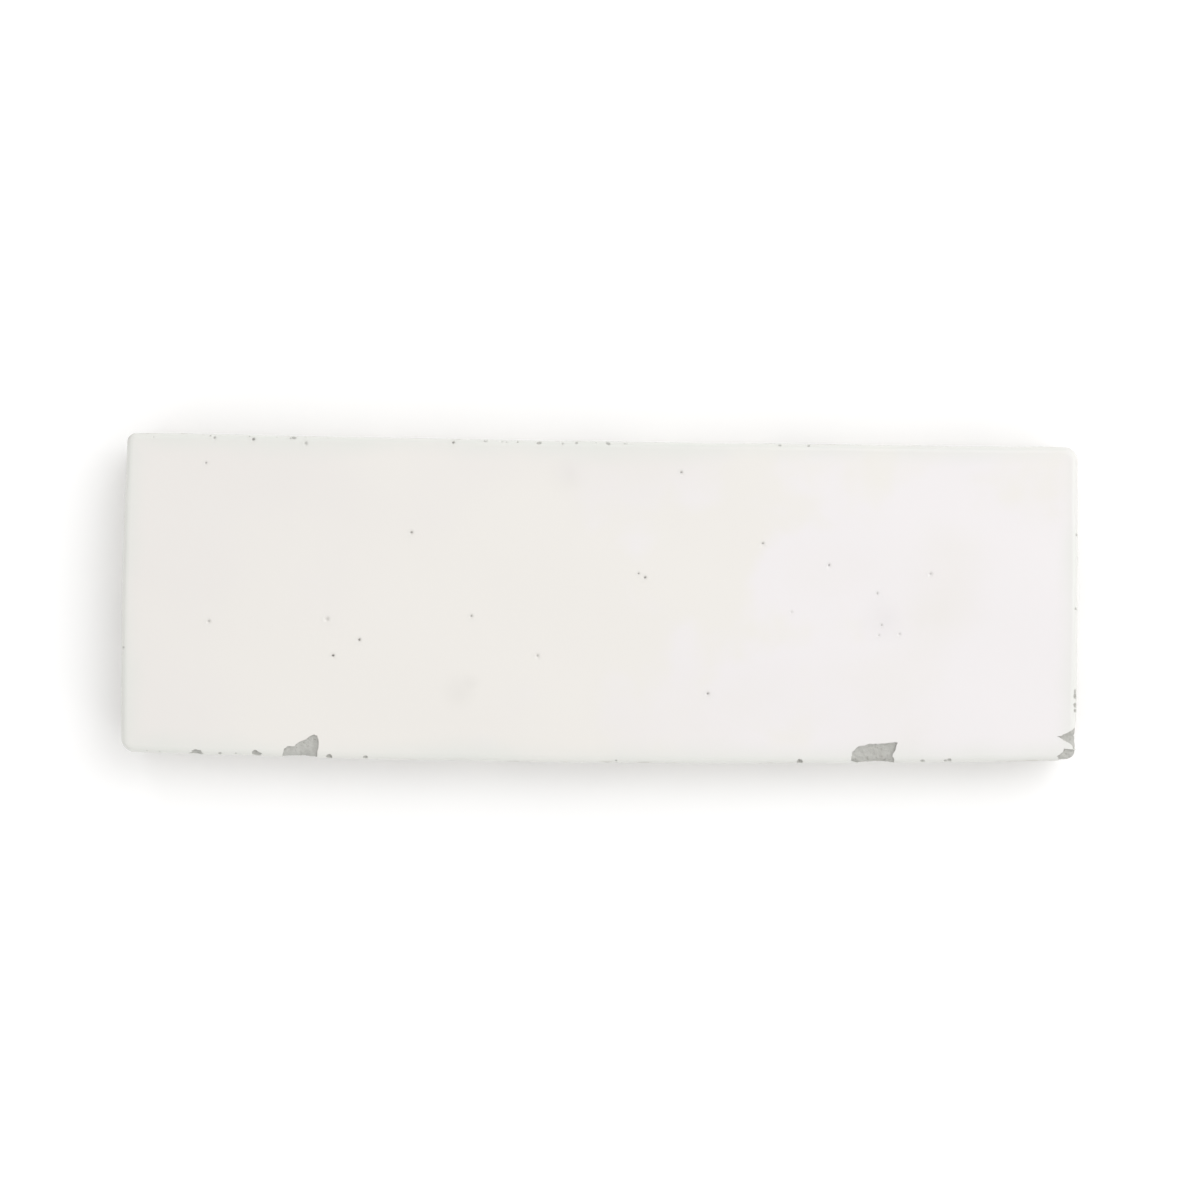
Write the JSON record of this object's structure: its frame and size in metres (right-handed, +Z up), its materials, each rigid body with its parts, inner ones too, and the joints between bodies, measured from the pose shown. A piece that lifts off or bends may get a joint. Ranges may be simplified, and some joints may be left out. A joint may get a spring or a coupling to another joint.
{
  "type": "zellige tile",
  "caption": "Hand-made glazed zellige tile in a long narrow format, with an uneven beaten face, rolled chipped edges and a flat unglazed back for bedding on a wall or floor.",
  "frame": {"origin": "middle of the bedding face, under the centre of the tile's box", "axes": "+X along the tile's length, +Y across its width towards the rear edge, +Z up through the glazed face"},
  "size_m": [0.15, 0.0514, 0.0111],
  "materials": {
    "glazed_clay": "warm white tin glaze with a soft gloss over pale grey fired clay"
  },
  "bodies": {
    "root": {"zellige_tile": "glazed_clay"}
  },
  "joints": []
}
